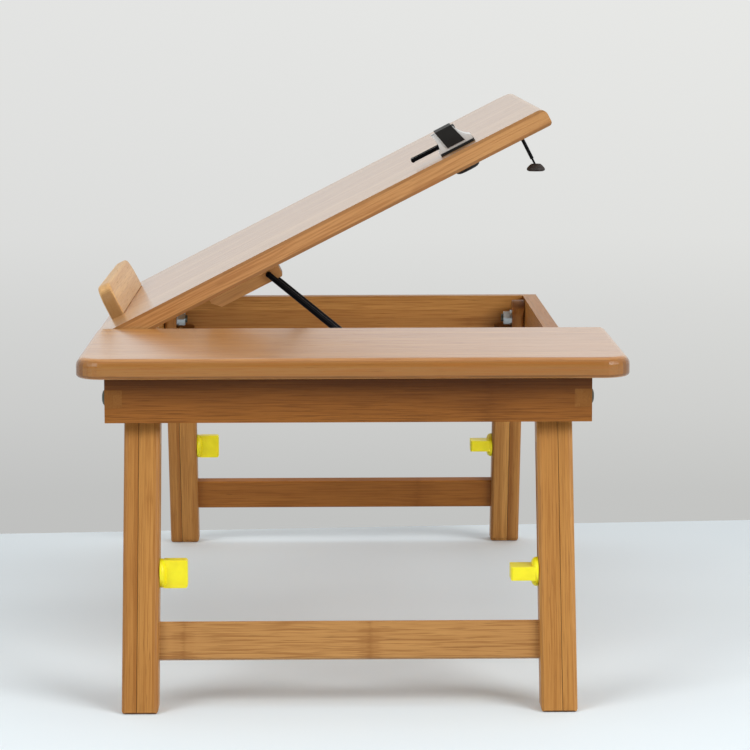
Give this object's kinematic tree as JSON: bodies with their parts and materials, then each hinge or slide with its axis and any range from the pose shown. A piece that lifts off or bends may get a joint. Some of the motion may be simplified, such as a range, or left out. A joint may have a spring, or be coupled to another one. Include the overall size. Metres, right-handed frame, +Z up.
{
  "type": "folding tray table",
  "caption": "Low folding bed tray table with a tilting reading board beside a fixed board, notched prop, page clip and folding extending legs with wing knobs.",
  "frame": {"origin": "centre of the whole table's footprint box, on the floor", "axes": "+Z up, +X along the table towards the fixed board's end, -Y towards the user, where the reading board is hinged"},
  "size_m": [0.6138, 0.3559, 0.3672],
  "materials": {
    "board_bamboo": "satin lacquer over honey bamboo strips",
    "frame_bamboo": "satin lacquer, darker caramel bamboo",
    "trim_bamboo": "satin lacquer",
    "leg_bamboo": "satin lacquer with grain along the leg",
    "knob_plastic": "moulded yellow plastic",
    "hinge_steel": "plated steel",
    "zinc_hardware": "zinc plated",
    "clip_bright_metal": "bright plated",
    "black_plastic": "moulded black plastic",
    "black_wire": "black coated steel wire"
  },
  "bodies": {
    "frame": {"side_panel": "board_bamboo", "front_rail": "frame_bamboo", "back_rail": "frame_bamboo", "right_rail": "frame_bamboo", "left_rail": "frame_bamboo", "notch_bar": "trim_bamboo", "hinge_leaves_fixed": "hinge_steel", "hinge_pins": "hinge_steel", "hinge_screws_rail": "hinge_steel", "pivot_bolts": "zinc_hardware", "pivot_washers": "zinc_hardware", "pivot_nuts": "zinc_hardware"},
    "reading_board": {"tilt_panel": "board_bamboo", "book_stop": "trim_bamboo", "hinge_leaves_moving": "hinge_steel", "hinge_screws_panel": "hinge_steel", "prop_block": "trim_bamboo", "clip_base": "black_plastic", "clip_body": "clip_bright_metal", "clip_core": "black_plastic", "clip_bolt": "hinge_steel", "clip_nut": "black_plastic", "post_rod": "black_wire"},
    "prop": {"prop_rod": "black_wire"},
    "page_clip_lever": {"clip_lever": "black_wire"},
    "post_swivel_foot": {"post_foot": "black_plastic"},
    "right_leg_pair": {"right_front_upper_leg": "leg_bamboo", "right_back_upper_leg": "leg_bamboo", "right_front_stud": "hinge_steel", "right_back_stud": "hinge_steel"},
    "right_leg_extension": {"right_front_lower_leg": "leg_bamboo", "right_back_lower_leg": "leg_bamboo", "right_stretcher": "leg_bamboo"},
    "right_front_knob_turning": {"right_front_knob": "knob_plastic"},
    "right_back_knob_turning": {"right_back_knob": "knob_plastic"},
    "left_leg_pair": {"left_front_upper_leg": "leg_bamboo", "left_back_upper_leg": "leg_bamboo", "left_front_stud": "hinge_steel", "left_back_stud": "hinge_steel"},
    "left_leg_extension": {"left_front_lower_leg": "leg_bamboo", "left_back_lower_leg": "leg_bamboo", "left_stretcher": "leg_bamboo"},
    "left_front_knob_turning": {"left_front_knob": "knob_plastic"},
    "left_back_knob_turning": {"left_back_knob": "knob_plastic"}
  },
  "joints": [
    {"name": "panel_tilt", "type": "hinge", "parent": "frame", "child": "reading_board", "pos_m": [0, -0.15555, 0.2038], "axis": [1, 0, 0], "range_deg": [-27, 10]},
    {"name": "prop_swing", "type": "hinge", "parent": "reading_board", "child": "prop", "pos_m": [0, -0.05441, 0.24759], "axis": [1, 0, 0], "range_deg": [-25, 67]},
    {"name": "clip_lever_lift", "type": "hinge", "parent": "reading_board", "child": "page_clip_lever", "pos_m": [0.057, 0.06715, 0.34163], "axis": [-1, 0, 0], "range_deg": [-8, 20], "stiffness_Nm_per_rad": 0.12},
    {"name": "post_foot_swivel", "type": "hinge", "parent": "reading_board", "child": "post_swivel_foot", "pos_m": [0.085, 0.13044, 0.32865], "axis": [1, 0, 0], "range_deg": [-2, 52]},
    {"name": "right_legs_fold", "type": "hinge", "parent": "frame", "child": "right_leg_pair", "pos_m": [0.235, 0.00065, 0.19], "axis": [0, -1, 0], "range_deg": [-108, 0]},
    {"name": "right_legs_extend", "type": "slide", "parent": "right_leg_pair", "child": "right_leg_extension", "axis": [0.309, 0, -0.9511], "range_m": [0, 0.08]},
    {"name": "right_front_knob_turn", "type": "hinge", "parent": "right_leg_pair", "child": "right_front_knob_turning", "pos_m": [0.26992, -0.10935, 0.08253], "axis": [0, 1, 0], "range_deg": [0, 360]},
    {"name": "right_back_knob_turn", "type": "hinge", "parent": "right_leg_pair", "child": "right_back_knob_turning", "pos_m": [0.26992, 0.11065, 0.08253], "axis": [0, -1, 0], "range_deg": [0, 360]},
    {"name": "left_legs_fold", "type": "hinge", "parent": "frame", "child": "left_leg_pair", "pos_m": [-0.235, 0.00065, 0.19], "axis": [0, 1, 0], "range_deg": [-108, 0]},
    {"name": "left_legs_extend", "type": "slide", "parent": "left_leg_pair", "child": "left_leg_extension", "axis": [-0.309, 0, -0.9511], "range_m": [0, 0.08]},
    {"name": "left_front_knob_turn", "type": "hinge", "parent": "left_leg_pair", "child": "left_front_knob_turning", "pos_m": [-0.26992, -0.10935, 0.08253], "axis": [0, 1, 0], "range_deg": [0, 360]},
    {"name": "left_back_knob_turn", "type": "hinge", "parent": "left_leg_pair", "child": "left_back_knob_turning", "pos_m": [-0.26992, 0.11065, 0.08253], "axis": [0, -1, 0], "range_deg": [0, 360]}
  ],
  "couplings": [
    {"joint": "prop_swing", "follows": "panel_tilt", "ratio": -2.4593}
  ]
}
